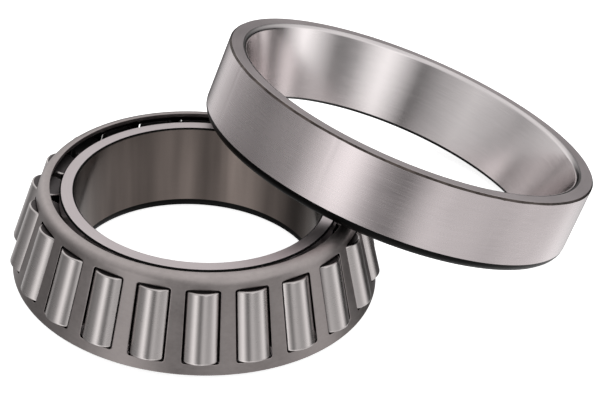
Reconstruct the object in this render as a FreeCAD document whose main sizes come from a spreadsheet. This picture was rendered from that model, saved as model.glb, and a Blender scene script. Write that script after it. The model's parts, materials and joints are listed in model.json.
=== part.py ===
"""Single-row tapered roller bearing with its outer ring taken off. Millimetres, +Z up.

The inner ring, with its cage and 22 rollers, stands on its back face, and the outer ring leans on the top
edge of the cage. The origin is on the bearing's axis, at the inner ring's back face. Azimuths are measured
about +Z, the rollers' from -Y towards +X and the outer ring's from +X towards +Y.

Both raceways and every roller are cones that share one apex on the axis, so the rollers roll without
slipping. The outer raceway's half angle is the driving one, and the roller diameter gives the others.
"""
import FreeCAD, Part
import os
import Sketcher

os.makedirs("parts", exist_ok=True)
doc = FreeCAD.newDocument("TaperedRollerBearing")

# --- driving dimensions -------------------------------------------------------------------------------

DIMENSIONS = {
    # envelope of the assembled bearing
    "bore_diameter": 92.075,
    "outside_diameter": 152.4,
    "assembled_width": 39.688,
    "inner_ring_width": 36.322,
    "outer_ring_width": 30.162,
    # raceways and rollers
    "outer_raceway_angle": 16.35,
    "outer_raceway_small_radius": 60.6,
    "roller_count": 22,
    "roller_diameter": 14.6,
    "roller_length": 26.0,
    "roller_base_height": 8.9,
    "roller_first_azimuth": 7.05,
    "roller_large_edge": 0.8,
    "roller_small_edge": 0.6,
    "roller_recess_radius": 2.6,
    "roller_recess_depth": 0.5,
    # inner ring
    "running_clearance": 0.08,
    "large_rib_clearance": 0.15,
    "small_rib_clearance": 0.4,
    "large_rib_radius": 59.4,
    "small_rib_radius": 51.4,
    "relief_radius": 0.6,
    "inner_bore_back_fillet": 2.5,
    "inner_bore_front_chamfer": 0.6,
    "inner_rib_chamfer": 0.6,
    # outer ring
    "outer_back_fillet": 3.9,
    "outer_front_chamfer": 0.7,
    "outer_raceway_front_fillet": 2.0,
    "outer_raceway_back_chamfer": 1.3,
    "outer_tilt": 19.0,
    "outer_tilt_azimuth": 32.0,
    "outer_centre_distance": 84.0,
    "outer_centre_azimuth": 34.45,
    # cage, pressed from sheet
    "cage_thickness": 1.9,
    "cage_base_height": 4.0,
    "cage_base_radius": 68.5,
    "cage_top_height": 38.1,
    "cage_lip_radius": 54.9,
    "cage_bend_radius": 3.8,
    "cage_lip_edge": 0.7,
    "cage_base_edge": 0.4,
    # cage pockets, along the sheet's outer surface
    "pocket_rim": 4.1,
    "pocket_length": 26.9,
    "pocket_base_width": 12.8,
    "pocket_top_width": 11.7,
    "pocket_corner": 1.0,
    "pocket_bevel": 25.0,
    "pocket_overcut": 1.5,
}

sheet = doc.addObject("Spreadsheet::Sheet", "Dimensions")
for row, (name, value) in enumerate(DIMENSIONS.items(), start=1):
    sheet.set(f"A{row}", name)
    sheet.set(f"B{row}", str(value))
    sheet.setAlias(f"B{row}", name)
doc.recompute()

# --- geometry worked out from the driving dimensions --------------------------------------------------
# r is a distance from the bearing's axis and z a height. The roller's axis runs from the apex down to its
# large end, and its end faces are square to that axis.

DERIVED = {
    "apex_height": "Dimensions.assembled_width"
                   " + Dimensions.outer_raceway_small_radius / tan(Dimensions.outer_raceway_angle)",
    # from the apex to the outermost corner of the roller's large end, along the outer raceway
    "large_slant": "(apex_height - Dimensions.roller_base_height) / cos(Dimensions.outer_raceway_angle)",
    "roller_half_angle": "asin(Dimensions.roller_diameter / 2 / large_slant) / 1 deg",
    "roller_axis_angle": "Dimensions.outer_raceway_angle - roller_half_angle",
    "inner_raceway_angle": "Dimensions.outer_raceway_angle - 2 * roller_half_angle",
    "roller_reach": "large_slant * cos(roller_half_angle)",
    "roller_small_diameter": "Dimensions.roller_diameter * (1 - Dimensions.roller_length / roller_reach)",
    "roller_base_radius": "roller_reach * sin(roller_axis_angle)",
    "roller_base_centre_height": "apex_height - roller_reach * cos(roller_axis_angle)",
    "small_slant": "large_slant - Dimensions.roller_length / cos(roller_half_angle)",
    # the inner raceway's line: r = raceway_r0 - z * tan(inner_raceway_angle)
    "raceway_r0": "apex_height * tan(inner_raceway_angle)"
                  " - Dimensions.running_clearance / cos(inner_raceway_angle)",
    # the rib faces' lines: z = rib_z0 + r * tan(roller_axis_angle)
    "large_rib_z0": "apex_height - roller_reach / cos(roller_axis_angle)"
                    " - Dimensions.large_rib_clearance / cos(roller_axis_angle)",
    "small_rib_z0": "apex_height - (roller_reach - Dimensions.roller_length) / cos(roller_axis_angle)"
                    " + Dimensions.small_rib_clearance / cos(roller_axis_angle)",
    "raceway_meet": "1 + tan(roller_axis_angle) * tan(inner_raceway_angle)",
    "raceway_large_radius": "(raceway_r0 - large_rib_z0 * tan(inner_raceway_angle)) / raceway_meet",
    "raceway_large_height": "large_rib_z0 + raceway_large_radius * tan(roller_axis_angle)",
    "raceway_small_radius": "(raceway_r0 - small_rib_z0 * tan(inner_raceway_angle)) / raceway_meet",
    "raceway_small_height": "small_rib_z0 + raceway_small_radius * tan(roller_axis_angle)",
    "outer_raceway_large_radius": "Dimensions.outer_raceway_small_radius"
                                  " + Dimensions.outer_ring_width * tan(Dimensions.outer_raceway_angle)",
    # the cage's outer cone, parallel to the outer raceway: r = cage_r0 - z * tan(outer_raceway_angle)
    "cage_r0": "Dimensions.cage_base_radius"
               " + Dimensions.cage_base_height * tan(Dimensions.outer_raceway_angle)",
    "cage_wall": "Dimensions.cage_thickness / cos(Dimensions.outer_raceway_angle)",
    # the tilted outer ring stands on the lowest point of its back fillet
    "outer_centre_height": "(Dimensions.outside_diameter / 2 - Dimensions.outer_back_fillet)"
                           " * sin(Dimensions.outer_tilt)"
                           " + Dimensions.outer_back_fillet * (1 - cos(Dimensions.outer_tilt))",
}

geometry = doc.addObject("App::VarSet", "Geometry")
for name, formula in DERIVED.items():
    geometry.addProperty("App::PropertyFloat", name)
    geometry.setExpression(name, formula)
doc.recompute()


# --- helpers ------------------------------------------------------------------------------------------

def origin_plane(body, role):
    """One of the body's own origin planes."""
    return next(feature for feature in body.Origin.OriginFeatures if feature.Role == role)


def attached_sketch(body, name, role="XZ_Plane"):
    """A sketch on one of the body's origin planes. On XZ_Plane its x is +X, its y is +Z, its z is -Y."""
    sketch = body.newObject("Sketcher::SketchObject", name)
    sketch.AttachmentSupport = (origin_plane(body, role), [""])
    sketch.MapMode = "FlatFace"
    return sketch


def bind_coordinate(sketch, kind, edge, end, formula):
    """Ties one coordinate of an edge's end to a formula, or to the sketch's axis where it is zero."""
    value = sketch.evalExpression(formula)
    if value == 0:
        axis = -2 if kind == "DistanceX" else -1
        sketch.addConstraint(Sketcher.Constraint("PointOnObject", edge, end, axis))
        return
    constraint = sketch.addConstraint(Sketcher.Constraint(kind, -1, 1, edge, end, value))
    sketch.setExpression(f"Constraints[{constraint}]", formula)


def corner_arc(start, end, radius):
    """The shorter arc from start to end that turns left, its centre on the left of the line between them."""
    middle = (start + end) / 2
    along = end - start
    left = FreeCAD.Vector(-along.y, along.x, 0).normalize()
    centre = middle + left * (radius ** 2 - (along.Length / 2) ** 2) ** 0.5
    top = centre - left * radius
    return Part.Arc(start, top, end)


def draw_outline(sketch, corners, arcs=None):
    """A closed outline through corners, each a pair of formulas. arcs gives the radius formula of the
    left-turning arc that starts at that corner; the other corners are joined by straight lines."""
    arcs = arcs or {}
    points = [FreeCAD.Vector(sketch.evalExpression(x), sketch.evalExpression(y), 0) for x, y in corners]
    count = len(points)
    for index, start in enumerate(points):
        end = points[(index + 1) % count]
        if index in arcs:
            sketch.addGeometry(corner_arc(start, end, sketch.evalExpression(arcs[index])))
        else:
            sketch.addGeometry(Part.LineSegment(start, end))
    for index, (x_formula, y_formula) in enumerate(corners):
        sketch.addConstraint(Sketcher.Constraint("Coincident", index, 2, (index + 1) % count, 1))
        bind_coordinate(sketch, "DistanceX", index, 1, x_formula)
        bind_coordinate(sketch, "DistanceY", index, 1, y_formula)
    for index, formula in arcs.items():
        value = sketch.evalExpression(formula)
        constraint = sketch.addConstraint(Sketcher.Constraint("Radius", index, value))
        sketch.setExpression(f"Constraints[{constraint}]", formula)


def turned_body(label, corners):
    """A body turned about its own Z axis from an outline of (radius, height) corners."""
    body = doc.addObject("PartDesign::Body", label)
    outline = attached_sketch(body, f"{label}_outline")
    draw_outline(outline, corners)
    turning = body.newObject("PartDesign::Revolution", f"{label}_turning")
    turning.Profile = outline
    turning.ReferenceAxis = (outline, ["V_Axis"])
    turning.Angle = 360
    doc.recompute()
    return body, outline, turning


def ring_edge(feature, radius_formula, height_formula):
    """The name of the circular edge about the Z axis with this radius and height."""
    radius = feature.evalExpression(radius_formula)
    height = feature.evalExpression(height_formula)
    for number, edge in enumerate(feature.Shape.Edges, start=1):
        round_edge = isinstance(edge.Curve, Part.Circle)
        if round_edge and abs(edge.Curve.Radius - radius) < 1e-3 and abs(edge.Curve.Center.z - height) < 1e-3:
            return f"Edge{number}"
    raise ValueError(f"{feature.Label} has no edge of radius {radius} at height {height}")


def dress_edge(body, kind, name, size_formula, radius_formula, height_formula):
    """Rounds (Fillet) or bevels (Chamfer) one circular edge of the body's last feature."""
    feature = body.Tip
    dressing = body.newObject(f"PartDesign::{kind}", name)
    dressing.Base = (feature, [ring_edge(feature, radius_formula, height_formula)])
    dressing.setExpression("Radius" if kind == "Fillet" else "Size", size_formula)
    doc.recompute()


# --- inner ring ---------------------------------------------------------------------------------------

def make_inner_ring():
    """Ring with a conical raceway between a large rib at its back and a small rib at its front."""
    bore = "Dimensions.bore_diameter / 2"
    large_rib = "Dimensions.large_rib_radius"
    small_rib = "Dimensions.small_rib_radius"
    width = "Dimensions.inner_ring_width"
    rib_slope = "tan(Geometry.roller_axis_angle)"
    body, _, turning = turned_body("inner_ring", [
        (bore, "0"),
        (large_rib, "0"),
        (large_rib, f"Geometry.large_rib_z0 + {large_rib} * {rib_slope}"),
        ("Geometry.raceway_large_radius", "Geometry.raceway_large_height"),
        ("Geometry.raceway_small_radius", "Geometry.raceway_small_height"),
        (small_rib, f"Geometry.small_rib_z0 + {small_rib} * {rib_slope}"),
        (small_rib, width),
        (bore, width),
    ])

    # grinding reliefs where the raceway meets the two ribs
    relief_sketch = attached_sketch(body, "relief_sketch")
    corners = [("Geometry.raceway_large_radius", "Geometry.raceway_large_height"),
               ("Geometry.raceway_small_radius", "Geometry.raceway_small_height")]
    for index, (x_formula, y_formula) in enumerate(corners):
        centre = FreeCAD.Vector(turning.evalExpression(x_formula), turning.evalExpression(y_formula), 0)
        radius = sheet.relief_radius
        relief_sketch.addGeometry(Part.Circle(centre, FreeCAD.Vector(0, 0, 1), radius))
        bind_coordinate(relief_sketch, "DistanceX", index, 3, x_formula)
        bind_coordinate(relief_sketch, "DistanceY", index, 3, y_formula)
        constraint = relief_sketch.addConstraint(Sketcher.Constraint("Radius", index, radius))
        relief_sketch.setExpression(f"Constraints[{constraint}]", "Dimensions.relief_radius")
    reliefs = body.newObject("PartDesign::Groove", "raceway_reliefs")
    reliefs.Profile = relief_sketch
    reliefs.ReferenceAxis = (relief_sketch, ["V_Axis"])
    reliefs.Angle = 360
    doc.recompute()

    dress_edge(body, "Fillet", "bore_back_fillet", "Dimensions.inner_bore_back_fillet", bore, "0")
    dress_edge(body, "Chamfer", "bore_front_chamfer", "Dimensions.inner_bore_front_chamfer", bore, width)
    dress_edge(body, "Chamfer", "small_rib_chamfer", "Dimensions.inner_rib_chamfer", small_rib, width)
    dress_edge(body, "Chamfer", "large_rib_chamfer", "Dimensions.inner_rib_chamfer", large_rib, "0")
    return body


# --- outer ring ---------------------------------------------------------------------------------------

def make_outer_ring():
    """Ring with a conical raceway inside, in its own frame from its thick back face up to its thin front."""
    outside = "Dimensions.outside_diameter / 2"
    back_raceway = "Dimensions.outer_raceway_small_radius"
    front_raceway = "Geometry.outer_raceway_large_radius"
    width = "Dimensions.outer_ring_width"
    body, _, _ = turned_body("outer_ring", [
        (back_raceway, "0"),
        (outside, "0"),
        (outside, width),
        (front_raceway, width),
    ])
    dress_edge(body, "Fillet", "back_fillet", "Dimensions.outer_back_fillet", outside, "0")
    dress_edge(body, "Chamfer", "front_chamfer", "Dimensions.outer_front_chamfer", outside, width)
    dress_edge(body, "Fillet", "front_raceway_fillet", "Dimensions.outer_raceway_front_fillet",
               front_raceway, width)
    dress_edge(body, "Chamfer", "back_raceway_chamfer", "Dimensions.outer_raceway_back_chamfer",
               back_raceway, "0")
    body.setExpression(
        "Placement",
        "placement(vector(Dimensions.outer_centre_distance * cos(Dimensions.outer_centre_azimuth);"
        " Dimensions.outer_centre_distance * sin(Dimensions.outer_centre_azimuth);"
        " Geometry.outer_centre_height);"
        " rotation(vector(0; 0; 1); Dimensions.outer_tilt_azimuth))"
        " * placement(vector(0; 0; 0); rotation(vector(0; 1; 0); Dimensions.outer_tilt))")
    return body


# --- cage ---------------------------------------------------------------------------------------------

def pocket_section(body, name, height_formula):
    """The pocket's outline on a plane parallel to the sheet, height_formula above its outer surface.
    The sketch's origin is on the cage's base edge and its y runs up the sheet."""
    section = attached_sketch(body, name)
    section.setExpression(
        "AttachmentOffset",
        "placement(vector(0; Dimensions.cage_base_height; Dimensions.cage_base_radius);"
        " rotation(vector(1; 0; 0); -Dimensions.outer_raceway_angle))"
        f" * placement(vector(0; 0; {height_formula}); rotation(vector(0; 0; 1); 0))")
    narrowing = f"({height_formula}) * tan(Dimensions.pocket_bevel)"
    base_half = f"(Dimensions.pocket_base_width / 2 - {narrowing})"
    top_half = f"(Dimensions.pocket_top_width / 2 - {narrowing})"
    base_line = "Dimensions.pocket_rim"
    top_line = "(Dimensions.pocket_rim + Dimensions.pocket_length)"
    corner = "Dimensions.pocket_corner"
    # how far the leaning side moves in over one corner's height
    lean = f"({base_half} - {top_half}) * {corner} / Dimensions.pocket_length"
    draw_outline(section, [
        (f"-{base_half} + {corner}", base_line),
        (f"{base_half} - {corner}", base_line),
        (f"{base_half} - {lean}", f"{base_line} + {corner}"),
        (f"{top_half} + {lean}", f"{top_line} - {corner}"),
        (f"{top_half} - {corner}", top_line),
        (f"-{top_half} + {corner}", top_line),
        (f"-{top_half} - {lean}", f"{top_line} - {corner}"),
        (f"-{base_half} + {lean}", f"{base_line} + {corner}"),
    ], {1: corner, 3: corner, 5: corner, 7: corner})
    return section


def make_cage():
    """Pressed cone of sheet with a turned-in lip at its top and one bevelled pocket for each roller."""
    slope = "tan(Dimensions.outer_raceway_angle)"
    top = "Dimensions.cage_top_height"
    under = "(Dimensions.cage_top_height - Dimensions.cage_thickness)"
    lip = "Dimensions.cage_lip_radius"
    body, outline, _ = turned_body("cage", [
        ("Dimensions.cage_base_radius - Dimensions.cage_thickness * cos(Dimensions.outer_raceway_angle)",
         "Dimensions.cage_base_height - Dimensions.cage_thickness * sin(Dimensions.outer_raceway_angle)"),
        ("Dimensions.cage_base_radius", "Dimensions.cage_base_height"),
        (f"Geometry.cage_r0 - {top} * {slope}", top),
        (lip, top),
        (lip, under),
        (f"Geometry.cage_r0 - Geometry.cage_wall - {under} * {slope}", under),
    ])
    dress_edge(body, "Fillet", "bend_outside", "Dimensions.cage_bend_radius",
               f"Geometry.cage_r0 - {top} * {slope}", top)
    dress_edge(body, "Fillet", "bend_inside", "Dimensions.cage_bend_radius - Dimensions.cage_thickness",
               f"Geometry.cage_r0 - Geometry.cage_wall - {under} * {slope}", under)
    dress_edge(body, "Fillet", "lip_edge", "Dimensions.cage_lip_edge", lip, under)
    dress_edge(body, "Fillet", "base_edge", "Dimensions.cage_base_edge",
               "Dimensions.cage_base_radius", "Dimensions.cage_base_height")
    pressing = body.Tip

    cut = body.newObject("PartDesign::SubtractiveLoft", "pocket")
    outer_section = pocket_section(body, "pocket_outside", "Dimensions.pocket_overcut")
    inner_section = pocket_section(body, "pocket_inside",
                                   "-(Dimensions.cage_thickness + Dimensions.pocket_overcut)")
    cut.Profile = outer_section
    cut.Sections = [inner_section]
    cut.Ruled = True
    doc.recompute()
    pockets = body.newObject("PartDesign::PolarPattern", "pockets")
    pockets.Originals = [cut]
    pockets.Axis = (outline, ["V_Axis"])
    pockets.Angle = 360
    pockets.setExpression("Occurrences", "Dimensions.roller_count")
    body.Tip = pockets
    body.setExpression("Placement", "placement(vector(0; 0; 0); rotation(vector(0; 0; 1);"
                                    " Dimensions.roller_first_azimuth))")
    doc.recompute()
    removed = pressing.Shape.Volume - pockets.Shape.Volume
    one_pocket = pressing.Shape.Volume - cut.Shape.Volume
    if abs(removed - one_pocket * sheet.roller_count) > 0.01 * removed:
        raise ValueError(f"the pockets cut {removed} mm3, one pocket cuts {one_pocket} mm3")
    return body


# --- rollers ------------------------------------------------------------------------------------------

def make_roller_outline():
    """Half section of a roller about its own Z axis, from its large end at height 0."""
    outline = doc.addObject("Sketcher::SketchObject", "roller_outline")
    outline.Placement = FreeCAD.Placement(FreeCAD.Vector(), FreeCAD.Rotation(FreeCAD.Vector(1, 0, 0), 90))
    large = "Dimensions.roller_diameter / 2"
    small = "Geometry.roller_small_diameter / 2"
    large_edge = "Dimensions.roller_large_edge"
    small_edge = "Dimensions.roller_small_edge"
    half_angle = "Geometry.roller_half_angle"
    length = "Dimensions.roller_length"
    # the edge roundings meet the end face and the cone at these distances from the sharp corner
    large_cut = f"{large_edge} * tan(45 + {half_angle} / 2)"
    small_cut = f"{small_edge} * tan(45 - {half_angle} / 2)"
    draw_outline(outline, [
        ("0", "Dimensions.roller_recess_depth"),
        ("Dimensions.roller_recess_radius", "Dimensions.roller_recess_depth"),
        ("Dimensions.roller_recess_radius", "0"),
        (f"{large} - {large_cut}", "0"),
        (f"{large} - {large_cut} * sin({half_angle})", f"{large_cut} * cos({half_angle})"),
        (f"{small} + {small_cut} * sin({half_angle})", f"{length} - {small_cut} * cos({half_angle})"),
        (f"{small} - {small_cut}", length),
        ("0", length),
    ], {3: large_edge, 5: small_edge})
    return outline


def make_rollers():
    """Equal rollers about the inner ring, each turned about its own Z axis and leaned over to the apex."""
    outline = make_roller_outline()
    rollers = []
    for number in range(1, int(sheet.roller_count) + 1):
        roller = doc.addObject("Part::Revolution", f"roller_{number:02d}")
        roller.Source = outline
        roller.Axis = FreeCAD.Vector(0, 0, 1)
        roller.Angle = 360
        roller.Solid = True
        roller.setExpression(
            "Placement",
            "placement(vector(0; 0; 0); rotation(vector(0; 0; 1);"
            f" Dimensions.roller_first_azimuth + {number - 1} * 360 / Dimensions.roller_count))"
            " * placement(vector(0; -Geometry.roller_base_radius; Geometry.roller_base_centre_height);"
            " rotation(vector(1; 0; 0); -Geometry.roller_axis_angle))")
        rollers.append(roller)
    return rollers


# --- build, check and write ---------------------------------------------------------------------------

sub_parts = [make_inner_ring(), make_outer_ring(), make_cage()] + make_rollers()
doc.recompute()

for item in doc.Objects:
    if "Invalid" in item.State or "Error" in item.State:
        raise RuntimeError(f"{item.Label} failed: {item.State}")
for sub_part in sub_parts:
    shape = sub_part.Shape
    if shape.isNull() or not shape.isValid() or len(shape.Solids) != 1:
        raise RuntimeError(f"{sub_part.Label} is not one valid solid")
for sub_part in sub_parts:
    sub_part.Shape.exportStep(f"parts/{sub_part.Label}.step")
    print(f"{sub_part.Label}: {sub_part.Shape.Volume:.1f} mm3")
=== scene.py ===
"""Looks for the tapered roller bearing: every CAD node gets a turned or pressed piece of the same size."""
import json
import math

import bmesh
import bpy
from mathutils import Matrix, Vector, noise


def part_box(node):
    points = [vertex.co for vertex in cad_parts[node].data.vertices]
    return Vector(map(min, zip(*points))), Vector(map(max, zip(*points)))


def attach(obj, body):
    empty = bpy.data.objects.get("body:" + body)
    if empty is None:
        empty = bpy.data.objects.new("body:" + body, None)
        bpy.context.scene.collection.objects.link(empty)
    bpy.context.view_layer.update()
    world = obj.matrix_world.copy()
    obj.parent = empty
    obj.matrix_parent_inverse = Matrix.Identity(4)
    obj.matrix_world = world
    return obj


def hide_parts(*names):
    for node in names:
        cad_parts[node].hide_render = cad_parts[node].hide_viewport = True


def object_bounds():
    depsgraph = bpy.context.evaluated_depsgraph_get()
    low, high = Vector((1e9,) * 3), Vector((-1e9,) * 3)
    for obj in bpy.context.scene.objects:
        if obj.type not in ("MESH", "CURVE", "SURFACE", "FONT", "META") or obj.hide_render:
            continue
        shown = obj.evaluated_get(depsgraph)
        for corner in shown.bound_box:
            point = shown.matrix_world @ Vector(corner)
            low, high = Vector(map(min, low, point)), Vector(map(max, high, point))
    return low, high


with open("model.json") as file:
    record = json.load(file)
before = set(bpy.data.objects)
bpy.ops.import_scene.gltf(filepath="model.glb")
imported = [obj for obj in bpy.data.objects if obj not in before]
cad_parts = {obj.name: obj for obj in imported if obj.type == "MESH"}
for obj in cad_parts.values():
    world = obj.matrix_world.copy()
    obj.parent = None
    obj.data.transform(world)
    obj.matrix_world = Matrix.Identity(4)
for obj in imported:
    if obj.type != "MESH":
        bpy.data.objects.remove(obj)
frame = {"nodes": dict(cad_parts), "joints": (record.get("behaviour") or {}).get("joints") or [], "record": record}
cad_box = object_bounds()

MM = 0.001

# --- what the frame gives -----------------------------------------------------------------------------

record = frame["record"]
joints = {joint["name"]: joint for joint in frame["joints"]}
mounts = {mount["name"]: mount for mount in record["mounts"]}
roller_names = sorted(name for name in frame["nodes"] if name.startswith("roller_"))
ROLLER_COUNT = len(roller_names)


def place_of(joint_name):
    """The matrix that takes +Z, through the origin, to a hinge's axis."""
    joint = joints[joint_name]
    turn = Vector(joint["axis"]).to_track_quat("Z", "Y").to_matrix().to_4x4()
    return Matrix.Translation(joint["pos_m"]) @ turn


roller_base = Vector(joints[f"{roller_names[0]}_spin"]["pos_m"])
roller_axis = Vector(joints[f"{roller_names[0]}_spin"]["axis"])
ROLLER_RATIO = record["behaviour"]["couplings"][0]["ratio"]
ROLLER_AXIS_ANGLE = math.acos(roller_axis.z)
ROLLER_HALF_ANGLE = math.atan2(math.sin(ROLLER_AXIS_ANGLE), ROLLER_RATIO + math.cos(ROLLER_AXIS_ANGLE))
INNER_RACEWAY_ANGLE = ROLLER_AXIS_ANGLE - ROLLER_HALF_ANGLE
OUTER_RACEWAY_ANGLE = ROLLER_AXIS_ANGLE + ROLLER_HALF_ANGLE
ROLLER_REACH = roller_base.xy.length / math.sin(ROLLER_AXIS_ANGLE)
APEX_HEIGHT = roller_base.z + ROLLER_REACH * math.cos(ROLLER_AXIS_ANGLE)
FIRST_AZIMUTH = math.atan2(roller_base.x, -roller_base.y)
PITCH = 2 * math.pi / ROLLER_COUNT

INNER_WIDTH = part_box("inner_ring")[1].z
BORE_RADIUS = mounts["shaft_bore"]["dims"]["r_mm"] * MM
LARGE_RIB_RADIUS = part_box("inner_ring")[1].x
OUTSIDE_RADIUS = mounts["outer_ring_outside"]["dims"]["r_mm"] * MM
OUTER_WIDTH = (Vector(mounts["outer_ring_front_face"]["pos_m"])
               - Vector(joints["outer_ring_spin"]["pos_m"])).length
CAGE_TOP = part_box("cage")[1].z

# --- sizes that the frame doesn't state, in metres ----------------------------------------------------

ROLLER_LENGTH = 26.0 * MM
ROLLER_LARGE_EDGE = 0.8 * MM
ROLLER_SMALL_EDGE = 0.6 * MM
ROLLER_RECESS_RADIUS = 2.6 * MM
ROLLER_RECESS_DEPTH = 0.5 * MM
ROLLER_RECESS_EDGE = 0.1 * MM

SHARP_EDGE = 0.15 * MM  # the rounding of every ground edge that has none of its own

RUNNING_CLEARANCE = 0.08 * MM
LARGE_RIB_CLEARANCE = 0.15 * MM
SMALL_RIB_CLEARANCE = 0.4 * MM
SMALL_RIB_RADIUS = 51.4 * MM
RELIEF_RADIUS = 0.6 * MM
LARGE_RIB_EDGE = 0.35 * MM
BORE_BACK_FILLET = 2.5 * MM
# the black of the bore's back fillet runs on up the bore to this height: painted shade at the bore's foot
BORE_BLACK_HEIGHT = 3.7 * MM
RIB_CHAMFER = 0.6 * MM

OUTER_SMALL_RADIUS = 60.6 * MM
OUTER_BACK_FILLET = 3.9 * MM
OUTER_FRONT_CHAMFER = 0.7 * MM
OUTER_RACEWAY_FRONT_FILLET = 2.0 * MM
OUTER_RACEWAY_BACK_CHAMFER = 1.3 * MM

CAGE_THICKNESS = 1.9 * MM
CAGE_BASE_HEIGHT = 4.0 * MM
CAGE_BASE_RADIUS = 68.5 * MM
CAGE_LIP_RADIUS = 54.9 * MM
CAGE_BEND_RADIUS = 3.8 * MM
CAGE_BASE_EDGE = 0.35 * MM
CAGE_INNER_EDGE = 0.2 * MM
CAGE_LIP_UNDER_EDGE = 0.6 * MM
POCKET_RIM = 4.1 * MM
POCKET_LENGTH = 26.9 * MM
POCKET_BASE_WIDTH = 12.8 * MM
POCKET_TOP_WIDTH = 11.7 * MM
POCKET_CORNER = 1.0 * MM
POCKET_EDGE = 0.2 * MM
POCKET_BEVEL = math.radians(25)

RING_SEGMENTS = 512
ROLLER_SEGMENTS = 96

# the UV map of every piece: u is the share of a turn about its axis, v the metres along its section
TURNING = "turning"


# --- meshes -------------------------------------------------------------------------------------------

def unit(angle):
    """The vector of length 1 at this angle."""
    return Vector((math.cos(angle), math.sin(angle)))


def rounded(corners, support=0.12 * MM, steps=5):
    """A closed outline as a list of (radius, height, slot). Each corner is (radius, height, rounding, slot):
    its rounding becomes an arc with a support point either side of it, and slot is the material up to the
    next corner's arc. A fifth value gives the arc a slot of its own."""
    points = []
    for index, corner in enumerate(corners):
        here = Vector(corner[:2])
        before = Vector(corners[index - 1][:2])
        after = Vector(corners[(index + 1) % len(corners)][:2])
        rounding, slot = corner[2], corner[3]
        arc_slot = corner[4] if len(corner) > 4 else slot
        slot_before = corners[index - 1][3]
        if rounding == 0:
            points.append((here.x, here.y, slot))
            continue
        back = (before - here).normalized()
        on = (after - here).normalized()
        half = back.angle(on) / 2
        cut = rounding / math.tan(half)
        centre = here + (back + on).normalized() * (rounding / math.sin(half))
        start = here + back * cut - centre
        sweep = start.angle_signed(here + on * cut - centre)
        lead = here + back * (cut + support)
        points.append((lead.x, lead.y, slot_before))
        for step in range(steps + 1):
            at = centre + Matrix.Rotation(-sweep * step / steps, 2) @ start
            points.append((at.x, at.y, arc_slot if step < steps else slot))
        tail = here + on * (cut + support)
        points.append((tail.x, tail.y, slot))
    return points


def turned(name, outline, segments, place=Matrix.Identity(4), nick=None):
    """A body turned about the +Z axis of place from a closed (radius, height, slot) outline. Points on the
    axis become single vertices. nick(radius, height, azimuth) may shift a point in (radius, height)."""
    bm = bmesh.new()
    turning = bm.loops.layers.uv.new(TURNING)
    rows, lengths = [], [0.0]
    for index, (radius, height, _) in enumerate(outline):
        after = outline[(index + 1) % len(outline)]
        lengths.append(lengths[-1] + math.dist((radius, height), after[:2]))
        if radius == 0:
            rows.append([bm.verts.new(place @ Vector((0, 0, height)))] * segments)
            continue
        row = []
        for number in range(segments):
            azimuth = 2 * math.pi * number / segments
            r, z = nick(radius, height, azimuth) if nick else (radius, height)
            row.append(bm.verts.new(place @ Vector((r * math.cos(azimuth), r * math.sin(azimuth), z))))
        rows.append(row)
    for index, (low, high) in enumerate(zip(rows, rows[1:] + rows[:1])):
        if low[0] is low[1] and high[0] is high[1]:
            continue
        start, end = lengths[index], lengths[index + 1]
        for number in range(segments):
            after = (number + 1) % segments
            here, there = number / segments, (number + 1) / segments
            corners = [(low[number], here, start), (low[after], there, start),
                       (high[after], there, end), (high[number], here, end)]
            if low[0] is low[1]:
                corners.pop(1)
            elif high[0] is high[1]:
                corners.pop(2)
            face = bm.faces.new([corner[0] for corner in corners])
            face.material_index = outline[index][2]
            for loop, (_, around, along) in zip(face.loops, corners):
                loop[turning].uv = (around, along)
    return finished(name, bm)


def finished(name, bm):
    """The bmesh as a smooth mesh with its normals outwards."""
    bmesh.ops.recalc_face_normals(bm, faces=bm.faces)
    for face in bm.faces:
        face.smooth = True
    mesh = bpy.data.meshes.new(name)
    bm.to_mesh(mesh)
    bm.free()
    return mesh


def piece(name, mesh, materials, node):
    """An object of this mesh that stands for a CAD node and rides on the body of the same name."""
    for material in materials:
        mesh.materials.append(material)
    made = bpy.data.objects.new(name, mesh)
    bpy.context.scene.collection.objects.link(made)
    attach(made, node)
    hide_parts(node)
    return made


# --- node materials -----------------------------------------------------------------------------------

def add_node(tree, kind, inputs=None, **settings):
    """A node with its settings, and its inputs linked to sockets or set to values."""
    made = tree.nodes.new(kind)
    for name, value in settings.items():
        setattr(made, name, value)
    for key, value in (inputs or {}).items():
        if isinstance(value, bpy.types.NodeSocket):
            tree.links.new(value, made.inputs[key])
        else:
            made.inputs[key].default_value = value
    return made


def calc(tree, operation, *values):
    """The output of a Math node."""
    inputs = dict(enumerate(values))
    return add_node(tree, "ShaderNodeMath", inputs, operation=operation).outputs[0]


def ramp(tree, value, stops):
    """The colour output of a ramp through (position, (red, green, blue)) stops."""
    made = add_node(tree, "ShaderNodeValToRGB", {"Fac": value})
    elements = made.color_ramp.elements
    while len(elements) < len(stops):
        elements.new(0.5)
    for element, (position, colour) in zip(elements, stops):
        element.position = position
        element.color = (*colour, 1)
    return made.outputs["Color"]


def turning_lines(tree, along, around):
    """Noise coordinates for marks that run round the piece's axis: fine along its section and drawn out round
    the axis, with no seam."""
    turning = add_node(tree, "ShaderNodeUVMap", uv_map=TURNING).outputs["UV"]
    share, length, _ = add_node(tree, "ShaderNodeSeparateXYZ", {"Vector": turning}).outputs
    angle = calc(tree, "MULTIPLY", share, 2 * math.pi)
    return add_node(tree, "ShaderNodeCombineXYZ", {
        "X": calc(tree, "MULTIPLY", calc(tree, "COSINE", angle), around),
        "Y": calc(tree, "MULTIPLY", calc(tree, "SINE", angle), around),
        "Z": calc(tree, "MULTIPLY", length, along),
    }).outputs["Vector"]


# the noise between these values spans the whole variation of a metal's colour and of its roughness
COLOUR_NOISE = (0.32, 0.68)
ROUGH_NOISE = (0.3, 0.7)

# how much of that variation the fine lines give: the rest comes from the patches or the streaks
FINE_SHARE = 0.5
FINE_SHARE_IN_STREAKS = 0.1
STREAKS_ALONG = 8.0
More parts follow.
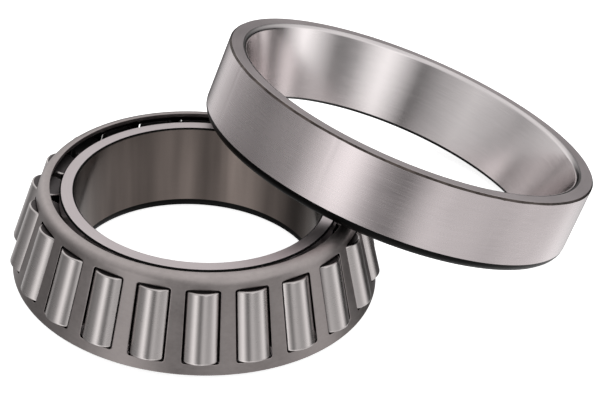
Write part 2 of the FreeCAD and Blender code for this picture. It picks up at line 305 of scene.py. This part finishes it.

# a surface's upward share between these values goes from no painted highlight to the full painted highlight
TOP_HIGHLIGHT_SLOPE = (0.3, 0.9)


def metal(name, brightness, tint, roughness, anisotropic=0.0, lines=(3500, 6.0), depth=1.5e-6, patches=40.0,
          spread=0.08, rough_spread=0.05, top=None, streaks=None):
    """Steel whose colour and gloss vary a little in soft patches and fine turning lines. tint is its red,
    green and blue at a brightness of 1, and top is the brightness of what faces straight up: a painted
    highlight on upward faces. streaks puts lighter and darker bands that run along the axis in place of
    the patches: more of them, the larger it is."""
    material = bpy.data.materials.new(name)
    material.use_nodes = True
    tree = material.node_tree
    tree.nodes.clear()
    coordinates = turning_lines(tree, *lines)
    fine = add_node(tree, "ShaderNodeTexNoise", {"Vector": coordinates, "Scale": 1.0, "Detail": 4.0,
                                                 "Roughness": 0.65}).outputs["Fac"]
    if streaks:
        place = turning_lines(tree, STREAKS_ALONG, streaks)
        patches, fine_share = 1.0, FINE_SHARE_IN_STREAKS
    else:
        place = add_node(tree, "ShaderNodeTexCoord").outputs["Object"]
        fine_share = FINE_SHARE
    soft = add_node(tree, "ShaderNodeTexNoise", {"Vector": place, "Scale": patches, "Detail": 3.0,
                                                 "Roughness": 0.5}).outputs["Fac"]
    blend = calc(tree, "ADD", calc(tree, "MULTIPLY", fine, fine_share),
                 calc(tree, "MULTIPLY", soft, 1 - fine_share))
    dark, light = [[brightness * factor * channel for channel in tint] for factor in (1 - spread, 1 + spread)]
    colour = ramp(tree, blend, [(COLOUR_NOISE[0], dark), (COLOUR_NOISE[1], light)])
    # painted highlight: what faces up, above all the cage's flat lip, is made brighter
    if top:
        normal = add_node(tree, "ShaderNodeNewGeometry").outputs["Normal"]
        upward = add_node(tree, "ShaderNodeSeparateXYZ", {"Vector": normal}).outputs["Z"]
        painted_top_highlight = add_node(tree, "ShaderNodeMapRange", {
            "Value": upward, "From Min": TOP_HIGHLIGHT_SLOPE[0], "From Max": TOP_HIGHLIGHT_SLOPE[1],
            "To Min": 1.0, "To Max": top / brightness})
        colour = add_node(tree, "ShaderNodeVectorMath", {0: colour, "Scale": painted_top_highlight.outputs["Result"]},
                          operation="SCALE").outputs[0]
    rough = add_node(tree, "ShaderNodeMapRange", {
        "Value": blend, "From Min": ROUGH_NOISE[0], "From Max": ROUGH_NOISE[1],
        "To Min": roughness - rough_spread, "To Max": roughness + rough_spread}).outputs["Result"]
    bump = add_node(tree, "ShaderNodeBump", {"Height": fine, "Strength": 1.0, "Distance": depth})
    shader = add_node(tree, "ShaderNodeBsdfPrincipled", {
        "Base Color": colour, "Roughness": rough, "Metallic": 1.0,
        "Normal": bump.outputs["Normal"], "Anisotropic": anisotropic, "Anisotropic Rotation": 0.25})
    if anisotropic:
        tangent = add_node(tree, "ShaderNodeTangent", direction_type="UV_MAP", uv_map=TURNING)
        tree.links.new(tangent.outputs["Tangent"], shader.inputs["Tangent"])
    output = add_node(tree, "ShaderNodeOutputMaterial")
    tree.links.new(shader.outputs["BSDF"], output.inputs["Surface"])
    return material


WARM = (1.07, 0.965, 0.975)
FAINT_WARM = (1.045, 0.98, 0.98)
BROWN = (1.18, 0.97, 0.88)
SHEET_WARM = (1.08, 0.97, 0.95)
ROLLER_WARM = (1.05, 0.98, 0.965)
GREY = (1.0, 1.0, 1.0)

ground = metal("ground_outside", 0.6, WARM, 0.27, 0.75, depth=0.25e-6)
raceway = metal("ground_raceway", 0.67, FAINT_WARM, 0.17, 0.7, depth=0.2e-6)
# painted shade: the bore's steel is made far darker than the other ground faces, for the shade in the ring
bore = metal("ground_bore_painted_shade", 0.11, BROWN, 0.21, 0.7, depth=0.4e-6, spread=0.35, streaks=4.0)
face = metal("ground_face", 0.58, WARM, 0.4, 0.3, depth=0.5e-6)
# black of the unground chamfers, fillets and reliefs, and painted shade on the bore just above its back fillet
black = metal("black_unground_and_painted_shade", 0.008, GREY, 0.5, depth=8e-6, lines=(1800, 20.0), spread=0.4)
worn_edge = metal("worn_edge", 0.07, BROWN, 0.4, depth=8e-6, lines=(1800, 30.0), patches=160.0, spread=0.8)
# top=0.4 is a painted highlight on the sheet's upward faces, the lip above all
sheet_metal = metal("pressed_sheet", 0.28, SHEET_WARM, 0.4, lines=(900, 30.0), depth=2e-6, patches=90.0,
                    spread=0.12, top=0.4)
# painted shade: the cage's inside, the same sheet as its outside, is made almost black
sheet_inside_painted_shade = metal("sheet_inside_painted_shade", 0.01, GREY, 0.55, depth=3e-6, lines=(900, 30.0), spread=0.4)
# painted shade: the pocket walls are made almost black for the dark gap round each roller
cut_edge = metal("punched_edge_painted_shade", 0.015, WARM, 0.5, depth=3e-6, lines=(1500, 30.0), spread=0.4)
polished = metal("polished_roller", 0.52, ROLLER_WARM, 0.28, 0.5, depth=0.03e-6, lines=(2500, 3.0),
                 spread=0.04, rough_spread=0.02)
roller_end = metal("roller_end", 0.1, WARM, 0.4, depth=0.5e-6, lines=(5000, 3.0), spread=0.3)

# --- inner ring ---------------------------------------------------------------------------------------

def rib_line(clearance, reach):
    """The height where a rib face, square to the roller's axis, would meet the bearing's axis."""
    return APEX_HEIGHT + (clearance - reach) / math.cos(ROLLER_AXIS_ANGLE)


RELIEF_STEPS = 12


def relief(corner, start, end, slot):
    """Points of a round relief groove cut into a corner, clockwise from the direction of start to end's."""
    first = math.atan2(start.y, start.x)
    last = math.atan2(end.y, end.x)
    while last > first:
        last -= 2 * math.pi
    points = []
    for step in range(RELIEF_STEPS + 1):
        at = corner + unit(first + (last - first) * step / RELIEF_STEPS) * RELIEF_RADIUS
        points.append((at.x, at.y, 0, slot))
    return points


def make_inner_ring():
    """Ring with a conical raceway between a large rib at its back and a small rib at its front."""
    rib_slope = math.tan(ROLLER_AXIS_ANGLE)
    race_slope = math.tan(INNER_RACEWAY_ANGLE)
    race_start = APEX_HEIGHT * race_slope - RUNNING_CLEARANCE / math.cos(INNER_RACEWAY_ANGLE)
    large_z0 = rib_line(-LARGE_RIB_CLEARANCE, ROLLER_REACH)
    small_z0 = rib_line(SMALL_RIB_CLEARANCE, ROLLER_REACH - ROLLER_LENGTH)

    def race_corner(z0):
        """Where the raceway's line meets the rib face that starts at this height."""
        radius = (race_start - z0 * race_slope) / (1 + rib_slope * race_slope)
        return Vector((radius, z0 + radius * rib_slope))

    large_corner, small_corner = race_corner(large_z0), race_corner(small_z0)
    up_rib = Vector((1, rib_slope)).normalized()
    up_race = (small_corner - large_corner).normalized()
    edge = SHARP_EDGE
    chamfer = RIB_CHAMFER
    outline = rounded([
        (BORE_RADIUS, 0, BORE_BACK_FILLET, 1, 2),
        (LARGE_RIB_RADIUS - chamfer, 0, edge, 2),
        (LARGE_RIB_RADIUS, chamfer, edge, 1),
        (LARGE_RIB_RADIUS, large_z0 + LARGE_RIB_RADIUS * rib_slope, LARGE_RIB_EDGE, 1),
        *relief(large_corner, up_rib, up_race, 2),
        *relief(small_corner, -up_race, up_rib, 2),
        (SMALL_RIB_RADIUS, small_z0 + SMALL_RIB_RADIUS * rib_slope, edge, 1),
        (SMALL_RIB_RADIUS, INNER_WIDTH - chamfer, edge, 2),
        (SMALL_RIB_RADIUS - chamfer, INNER_WIDTH, edge, 1),
        (BORE_RADIUS + chamfer, INNER_WIDTH, edge, 2),
        (BORE_RADIUS, INNER_WIDTH - chamfer, edge, 0),
        # black from here down to the fillet: painted shade on the bore wall
        (BORE_RADIUS, BORE_BLACK_HEIGHT, 0, 2),
    ])
    mesh = turned("inner_ring_body", outline, RING_SEGMENTS)
    piece("inner_ring_body", mesh, [bore, face, black], "inner_ring")


# --- outer ring ---------------------------------------------------------------------------------------

WEAR_REACH = 1.4 * MM  # how far the front edge's wear reaches from the front face
OUTSIDE_TOLERANCE = 0.05 * MM  # points nearer than this to the outside's radius lie on it
WANDER = 0.12 * MM
WANDER_LUMPS = 9
CHIP_DEPTH = 0.25 * MM
CHIP_HEIGHT = 0.5 * MM
CHIP_LUMPS = 40
CHIP_THRESHOLD = 0.35  # noise above this makes a dent


def noise_round(azimuth, lumps, height):
    """Noise round the ring with no seam, finer the larger lumps is. Each height gives other noise."""
    return noise.noise(Vector((math.cos(azimuth) * lumps, math.sin(azimuth) * lumps, height)))


def chip_front_edge(radius, height, azimuth):
    """Small dents and a slightly uneven width where the front chamfer meets the ground outside."""
    if abs(radius - OUTSIDE_RADIUS) < OUTSIDE_TOLERANCE and height > OUTER_WIDTH - WEAR_REACH:
        wander = noise_round(azimuth, WANDER_LUMPS, 1.0)
        chips = max(0.0, noise_round(azimuth, CHIP_LUMPS, 5.0) - CHIP_THRESHOLD)
        return radius - chips * CHIP_DEPTH, height + wander * WANDER - chips * CHIP_HEIGHT
    return radius, height


def make_outer_ring():
    """Ring with a conical raceway, thick at its back face and thin at its front."""
    front_radius = OUTER_SMALL_RADIUS + OUTER_WIDTH * math.tan(OUTER_RACEWAY_ANGLE)
    cut = OUTER_RACEWAY_BACK_CHAMFER
    chamfer = OUTER_FRONT_CHAMFER
    edge = SHARP_EDGE
    sine, cosine = math.sin(OUTER_RACEWAY_ANGLE), math.cos(OUTER_RACEWAY_ANGLE)
    outline = rounded([
        (OUTER_SMALL_RADIUS + cut, 0, edge, 2),
        (OUTSIDE_RADIUS, 0, OUTER_BACK_FILLET, 0, 2),
        (OUTSIDE_RADIUS, OUTER_WIDTH - chamfer, edge, 4),
        (OUTSIDE_RADIUS - chamfer, OUTER_WIDTH, edge, 3),
        (front_radius, OUTER_WIDTH, OUTER_RACEWAY_FRONT_FILLET, 1),
        (OUTER_SMALL_RADIUS + cut * sine, cut * cosine, edge, 2),
    ])
    mesh = turned("outer_ring_body", outline, RING_SEGMENTS, place_of("outer_ring_spin"), chip_front_edge)
    materials = [ground, raceway, black, face, worn_edge]
    piece("outer_ring_body", mesh, materials, "outer_ring")


# --- rollers ------------------------------------------------------------------------------------------

ROLLER_TURN = 2.4  # radians from each roller's marks to the next one's


def make_rollers():
    """Polished tapered rollers, turned by different angles so that their marks differ."""
    slope = math.tan(ROLLER_HALF_ANGLE)
    large = ROLLER_REACH * slope
    small = (ROLLER_REACH - ROLLER_LENGTH) * slope
    outline = rounded([
        (0, ROLLER_RECESS_DEPTH, 0, 1),
        (ROLLER_RECESS_RADIUS, ROLLER_RECESS_DEPTH, ROLLER_RECESS_EDGE, 1),
        (ROLLER_RECESS_RADIUS, 0, ROLLER_RECESS_EDGE, 1),
        (large, 0, ROLLER_LARGE_EDGE, 0),
        (small, ROLLER_LENGTH, ROLLER_SMALL_EDGE, 1, 0),
        (0, ROLLER_LENGTH, 0, 1),
    ])
    for number, name in enumerate(roller_names):
        place = place_of(f"{name}_spin") @ Matrix.Rotation(number * ROLLER_TURN, 4, "Z")
        mesh = turned(f"{name}_body", outline, ROLLER_SEGMENTS, place)
        piece(f"{name}_body", mesh, [polished, roller_end], name)


# --- cage ---------------------------------------------------------------------------------------------

CORNER_STEPS = 6
END_STEPS = 10
SIDE_STEPS = 14
COLUMNS = CORNER_STEPS + END_STEPS

SECTOR_LOW = 0.7 * MM  # the slant where the pockets' sectors start, above the rounded base edge
SECTOR_GAP = 0.3 * MM  # from the sectors' top to the bend of the lip
POCKET_SURROUND = 1.1 * MM  # loops round a pocket, outside its outline
POCKET_SUPPORT = 0.25 * MM
WELD = 0.5e-6  # vertices nearer than this are one
HALF_ROUND = 0.29  # a quarter arc's middle point lies this share of its radius in from each of its sides


def pocket_outline(grow, depth):
    """(sideways, slant, corner) points of a pocket's outline, depth below the sheet's outer surface and grown
    by grow, from the middle of its base corner on the left round to there again, anticlockwise."""
    base = POCKET_RIM - grow
    top = POCKET_RIM + POCKET_LENGTH + grow
    corner = POCKET_CORNER + grow

    def half_width(slant):
        """Half the pocket's width at this slant and depth, with its sides bevelled."""
        share = (slant - POCKET_RIM) / POCKET_LENGTH
        half = (POCKET_BASE_WIDTH + share * (POCKET_TOP_WIDTH - POCKET_BASE_WIDTH)) / 2 + grow
        radius = cage_point(slant, depth)[0]
        sag = radius * (1 - math.sqrt(1 - (half / radius) ** 2))
        return half + (depth + sag) * math.tan(POCKET_BEVEL)

    def arc(side, centre_slant, first, steps):
        """These steps of a corner's quarter arc, on side -1 or 1, that starts at first degrees."""
        centre = side * (half_width(centre_slant) - corner)
        return [(centre + corner * math.cos(math.radians(first + 90 * step / CORNER_STEPS)),
                 centre_slant + corner * math.sin(math.radians(first + 90 * step / CORNER_STEPS)))
                for step in steps]

    middle = CORNER_STEPS // 2
    whole = range(CORNER_STEPS + 1)
    low, high = base + corner, top - corner
    points = arc(-1, low, 180, whole[middle:])
    points += between(points[-1], arc(1, low, 270, [0])[0], END_STEPS)
    points += arc(1, low, 270, whole)
    points += between(points[-1], arc(1, high, 0, [0])[0], SIDE_STEPS)
    points += arc(1, high, 0, whole)
    points += between(points[-1], arc(-1, high, 90, [0])[0], END_STEPS)
    points += arc(-1, high, 90, whole)
    points += between(points[-1], arc(-1, low, 180, [0])[0], SIDE_STEPS)
    points += arc(-1, low, 180, whole[:middle])
    return points


def between(start, end, steps):
    """The points that cut a line into steps, without its ends."""
    return [(start[0] + (end[0] - start[0]) * step / steps, start[1] + (end[1] - start[1]) * step / steps)
            for step in range(1, steps)]


def cage_point(slant, depth):
    """(radius, height) on the cage's cone, slant up from its base edge and depth below its outer surface."""
    cosine, sine = math.cos(OUTER_RACEWAY_ANGLE), math.sin(OUTER_RACEWAY_ANGLE)
    return (CAGE_BASE_RADIUS - slant * sine - depth * cosine,
            CAGE_BASE_HEIGHT + slant * cosine - depth * sine)


def sector_outline(low, high):
    """(share of half a pitch, slant) points of a sector's border that match the points of pocket_outline."""
    across = COLUMNS
    side = CORNER_STEPS + SIDE_STEPS
    points = [(-1 + 2 * step / across, low) for step in range(across)]
    points += [(1, low + (high - low) * step / side) for step in range(side)]
    points += [(1 - 2 * step / across, high) for step in range(across)]
    points += [(-1, high - (high - low) * step / side) for step in range(side)]
    return points


def make_cage():
    """Pressed cone of sheet with a turned-in lip and one bevelled pocket for each roller."""
    bm = bmesh.new()
    angle = OUTER_RACEWAY_ANGLE
    thickness = CAGE_THICKNESS
    low = SECTOR_LOW
    corner_slant = (CAGE_TOP - CAGE_BASE_HEIGHT) / math.cos(angle)
    bend_cut = CAGE_BEND_RADIUS * math.tan((math.pi / 2 - angle) / 2)
    high = corner_slant - bend_cut - SECTOR_GAP

    turning = bm.loops.layers.uv.new(TURNING)

    def ring_vertex(radius, height, azimuth, along):
        """A vertex with its uv. azimuth is counted from -Y towards +X."""
        place = (radius * math.sin(azimuth), -radius * math.cos(azimuth), height)
        return bm.verts.new(place), (azimuth / (2 * math.pi), along)

    def pocket_loop(grow, depth, azimuth):
        """The pocket's outline as (vertex, uv) pairs."""
        loop = []
        for sideways, slant in pocket_outline(grow, depth):
            radius, height = cage_point(slant, depth)
            loop.append(ring_vertex(radius, height, azimuth + math.asin(sideways / radius), slant + depth))
        return loop

    def border_loop(depth, azimuth):
        """The sector's border as (vertex, uv) pairs."""
        return [ring_vertex(*cage_point(slant, depth), azimuth + share * PITCH / 2, slant + depth)
                for share, slant in sector_outline(low, high)]

    def skin(loops, slots, closed=True):
        """Quads between neighbouring loops of (vertex, uv) pairs."""
        for index, (first, second) in enumerate(zip(loops, loops[1:])):
            for number in range(len(first) if closed else len(first) - 1):
                after = (number + 1) % len(first)
                corners = [first[number], first[after], second[after], second[number]]
                made = bm.faces.new([vertex for vertex, _ in corners])
                made.material_index = slots[index]
                for loop, (_, uv) in zip(made.loops, corners):
                    loop[turning].uv = uv

    # each pocket's sector: (grow, depth) loops over the sheet's outside, through the pocket and under it,
    # with sheet_metal (0) outside, cut_edge (1) in the pocket and sheet_inside_painted_shade (2) under it
    edge = POCKET_EDGE
    inset = edge * HALF_ROUND
    around = [(POCKET_SURROUND, 0), (edge + POCKET_SUPPORT, 0)]
    wall = [(edge, 0.0), (inset, inset), (0.0, edge), (0.0, thickness / 2),
            (0.0, thickness - edge), (inset, thickness - inset), (edge, thickness)]
    under = [(edge + POCKET_SUPPORT, thickness)]
    for number in range(ROLLER_COUNT):
        azimuth = FIRST_AZIMUTH + number * PITCH
        loops = [border_loop(0, azimuth)]
        loops += [pocket_loop(grow, depth, azimuth) for grow, depth in around + wall + under]
        loops += [border_loop(thickness, azimuth)]
        skin(loops, [0] * 4 + [1] * 5 + [2] * 3)

    # the base rim and the lip, turned round in line with the sectors' columns
    top_radius = CAGE_BASE_RADIUS - corner_slant * math.sin(angle)
    under_height = CAGE_TOP - thickness
    under_slant = (under_height - CAGE_BASE_HEIGHT + thickness * math.sin(angle)) / math.cos(angle)
    lip = CAGE_LIP_RADIUS
    outer_high, inner_high = cage_point(high, 0), cage_point(high, thickness)
    outer_low, inner_low = cage_point(low, 0), cage_point(low, thickness)
    under_radius = cage_point(under_slant, thickness)[0]
    lip_strip = rounded([
        (*outer_high, 0, 0),
        (top_radius, CAGE_TOP, CAGE_BEND_RADIUS, 0),
        (lip, CAGE_TOP, CAGE_INNER_EDGE, 0),
        (lip, under_height, CAGE_LIP_UNDER_EDGE, 2, 0),
        (under_radius, under_height, CAGE_BEND_RADIUS - thickness, 2),
        (*inner_high, 0, 2),
    ], steps=8)
    base_strip = rounded([
        (*outer_low, 0, 0),
        (*cage_point(0, 0), CAGE_BASE_EDGE, 0),
        (*cage_point(0, thickness), CAGE_INNER_EDGE, 2),
        (*inner_low, 0, 2),
    ])
    azimuths = [FIRST_AZIMUTH - PITCH / 2 + PITCH * column / COLUMNS
                for column in range(COLUMNS * ROLLER_COUNT + 1)]
    for strip in (lip_strip, base_strip):
        rows, along = [], 0.0
        for index, (radius, height, _) in enumerate(strip):
            along += math.dist((radius, height), strip[index - 1][:2]) if index else 0.0
            rows.append([ring_vertex(radius, height, azimuth, along) for azimuth in azimuths])
        skin(rows, [slot for _, _, slot in strip], closed=False)
    bmesh.ops.remove_doubles(bm, verts=bm.verts, dist=WELD)
    mesh = finished("cage_body", bm)
    piece("cage_body", mesh, [sheet_metal, cut_edge, sheet_inside_painted_shade], "cage")


make_inner_ring()
make_outer_ring()
make_rollers()
make_cage()

# --- floor, light and camera --------------------------------------------------------------------------

scene = bpy.context.scene
scene.view_settings.view_transform = "Standard"

FLOOR_SIZE = 8.0
FLOOR_DROP = 0.05 * MM  # how far the floor and the shade lie under the rings' lowest point
SHADE_DROP = 0.04 * MM
SHADE_STEPS = 96


def make_floor():
    """A plain pale floor under the rings."""
    mesh = bpy.data.meshes.new("floor")
    half = FLOOR_SIZE / 2
    corners = [(-half, -half, 0), (half, -half, 0), (half, half, 0), (-half, half, 0)]
    mesh.from_pydata(corners, [], [(0, 1, 2, 3)])
    floor = bpy.data.objects.new("floor", mesh)
    floor.location.z = cad_box[0][2] - FLOOR_DROP
    material = bpy.data.materials.new("pale_floor")
    material.use_nodes = True
    shader = material.node_tree.nodes["Principled BSDF"]
    shader.inputs["Base Color"].default_value = (0.9, 0.9, 0.9, 1)
    shader.inputs["Roughness"].default_value = 0.9
    shader.inputs["Specular IOR Level"].default_value = 0.0
    shader.inputs["Emission Color"].default_value = (1, 1, 1, 1)
    shader.inputs["Emission Strength"].default_value = 0.85
    mesh.materials.append(material)
    floor.visible_glossy = False
    scene.collection.objects.link(floor)


def make_shade():
    """A dark ring on the floor, under the inner ring and the cage, that only reflections see."""
    bm = bmesh.new()
    rows = []
    for radius in (BORE_RADIUS, CAGE_BASE_RADIUS):
        around = [unit(2 * math.pi * step / SHADE_STEPS) * radius for step in range(SHADE_STEPS)]
        rows.append([bm.verts.new((*at, 0)) for at in around])
    inner, outer = rows
    for step in range(SHADE_STEPS):
        after = (step + 1) % SHADE_STEPS
        bm.faces.new([inner[step], inner[after], outer[after], outer[step]])
    mesh = bpy.data.meshes.new("bearing_shade")
    bm.to_mesh(mesh)
    bm.free()
    shade = bpy.data.objects.new("bearing_shade", mesh)
    shade.location.z = cad_box[0][2] - SHADE_DROP
    material = bpy.data.materials.new("bearing_shade")
    material.use_nodes = True
    shader = material.node_tree.nodes["Principled BSDF"]
    shader.inputs["Base Color"].default_value = (0.01, 0.01, 0.01, 1)
    shader.inputs["Roughness"].default_value = 1.0
    mesh.materials.append(material)
    shade.visible_camera = False
    shade.visible_diffuse = False
    shade.visible_shadow = False
    scene.collection.objects.link(shade)


# The studio's soft panels: rows at six heights (the sine of their elevation), each with (azimuth in degrees
# from the camera's side towards +X, brightness) stops. The brightnesses began as a least-squares fit to the
# tones that the rings should show. They were then thinned, rounded and changed over several rounds.
STUDIO = [
    (-0.65, [(-180, 0.3), (-150, 0.5), (-105, 0.15), (-60, 0.7), (-28, 1.8), (0, 0.65), (18, 1.2), (60, 0.65),
             (100, 0.9), (130, 1.5), (160, 1.3)]),
    (-0.42, [(-180, 0.0), (-165, 0.0), (-145, 0.7), (-105, 0.15), (-60, 0.7), (-28, 1.8), (0, 0.6), (18, 1.2),
             (60, 0.65), (95, 0.7), (115, 0.0)]),
    (-0.2, [(-180, 0.0), (-165, 0.0), (-145, 1.0), (-120, 0.45), (-105, 0.25), (-60, 0.25), (-30, 1.2),
            (-13, 0.2), (0, 0.0), (15, 0.6), (30, 0.35), (60, 0.8), (85, 1.6), (108, 0.0)]),
    (0.1, [(-180, 0.0), (-165, 0.1), (-145, 1.1), (-120, 0.6), (-90, 0.25), (-60, 0.5), (-32, 2.1),
           (-13, 0.5), (0, 0.15), (25, 1.1), (45, 0.25), (60, 0.15), (90, 1.4), (120, 0.55), (150, 0.35)]),
    (0.45, [(-180, 0.8), (-135, 1.1), (-90, 0.4), (-45, 0.75), (0, 0.1), (25, 1.5), (55, 1.0), (135, 0.85)]),
    (0.9, [(-180, 0.9)]),
]
MIX_FACTOR, MIX_FIRST, MIX_SECOND = 0, 6, 7  # a Mix node's sockets when it mixes colours
MIX_RESULT = 2


def light_world():
    """A soft studio: bright and dark panels round the rings, and a plain white ground for the camera."""
    world = bpy.data.worlds.new("studio")
    scene.world = world
    world.use_nodes = True
    tree = world.node_tree
    tree.nodes.clear()
    direction = add_node(tree, "ShaderNodeTexCoord").outputs["Generated"]
    x, y, z = add_node(tree, "ShaderNodeSeparateXYZ", {"Vector": direction}).outputs
    azimuth = calc(tree, "ARCTAN2", x, calc(tree, "MULTIPLY", y, -1.0))
    turn = calc(tree, "ADD", calc(tree, "DIVIDE", azimuth, 2 * math.pi), 0.5)
    brightest = max(brightness for _, row in STUDIO for _, brightness in row)
    panels, height_below = None, None
    for height, row in STUDIO:
        stops = [((angle + 180) / 360, (brightness / brightest,) * 3) for angle, brightness in row]
        stops.append((1.0, stops[0][1]))
        colour = ramp(tree, turn, stops)
        if panels:
            rise = {"Value": z, "From Min": height_below, "From Max": height}
            share = add_node(tree, "ShaderNodeMapRange", rise).outputs["Result"]
            mix = add_node(tree, "ShaderNodeMix", {MIX_FACTOR: share, MIX_FIRST: panels, MIX_SECOND: colour},
                           data_type="RGBA")
            colour = mix.outputs[MIX_RESULT]
        panels, height_below = colour, height
    lit = add_node(tree, "ShaderNodeBackground", {"Color": panels, "Strength": brightest})
    plain = add_node(tree, "ShaderNodeBackground", {"Color": (1, 1, 1, 1), "Strength": 1.0})
    camera_ray = add_node(tree, "ShaderNodeLightPath").outputs["Is Camera Ray"]
    mixed = add_node(tree, "ShaderNodeMixShader", {0: camera_ray, 1: lit.outputs[0], 2: plain.outputs[0]})
    output = add_node(tree, "ShaderNodeOutputWorld")
    tree.links.new(mixed.outputs[0], output.inputs["Surface"])


CAMERA_TARGET = Vector((37.0, 30.0, 17.8)) * MM
CAMERA_DISTANCE = 652.9 * MM
CAMERA_ELEVATION = math.radians(32.018)
CAMERA_ROLL = math.radians(5.49)
CAMERA_LENS = 100.5


def make_camera():
    """The camera looks along +Y and down, rolled a little."""
    data = bpy.data.cameras.new("camera")
    data.lens = CAMERA_LENS
    data.sensor_width = 36.0
    data.clip_start = 0.01
    data.clip_end = 50.0
    camera = bpy.data.objects.new("camera", data)
    aim = Matrix.Rotation(math.pi / 2 - CAMERA_ELEVATION, 4, "X") @ Matrix.Rotation(CAMERA_ROLL, 4, "Z")
    back = aim.to_3x3() @ Vector((0, 0, 1))
    camera.matrix_world = Matrix.Translation(CAMERA_TARGET + back * CAMERA_DISTANCE) @ aim
    scene.collection.objects.link(camera)
    scene.camera = camera


make_floor()
make_shade()
light_world()
make_camera()
